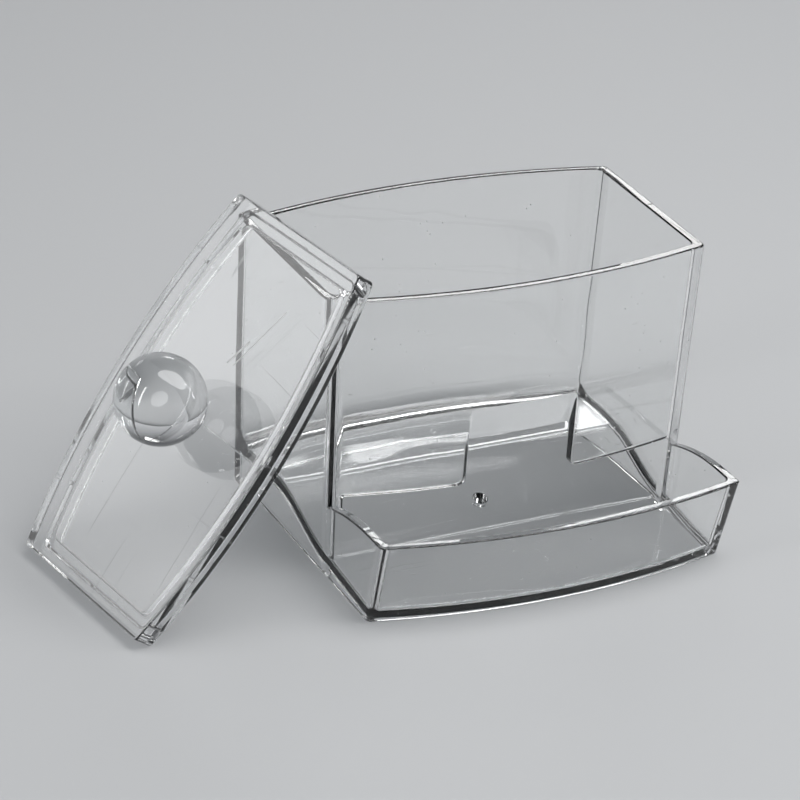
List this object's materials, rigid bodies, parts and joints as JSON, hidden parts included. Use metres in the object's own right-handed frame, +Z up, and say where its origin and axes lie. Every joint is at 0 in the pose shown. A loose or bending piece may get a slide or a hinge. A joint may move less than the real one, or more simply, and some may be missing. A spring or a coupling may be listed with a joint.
{
  "type": "cotton swab holder",
  "caption": "Clear plastic cotton swab holder: bow-fronted box with an outlet and finger notch over a front tray, and a loose lid with a ball knob leaning on it.",
  "frame": {"origin": "on the table, under the middle of the back wall's foot", "axes": "+X along the box to its right end, away from the leaning lid; -Y towards the tray; +Z up"},
  "size_m": [0.1503, 0.0852, 0.0777],
  "materials": {
    "box_plastic": "clear polished plastic",
    "lid_plastic": "clear polished plastic, thick plate",
    "knob_plastic": "clear polished plastic, solid ball"
  },
  "bodies": {
    "box": {"box_with_tray": "box_plastic"},
    "lid": {"lid_plate": "lid_plastic", "ball_knob": "knob_plastic"}
  },
  "joints": [
    {"name": "lid_lift", "type": "slide", "parent": "box", "child": "lid", "axis": [0, 0, 1], "range_m": [0, 0.12]}
  ]
}
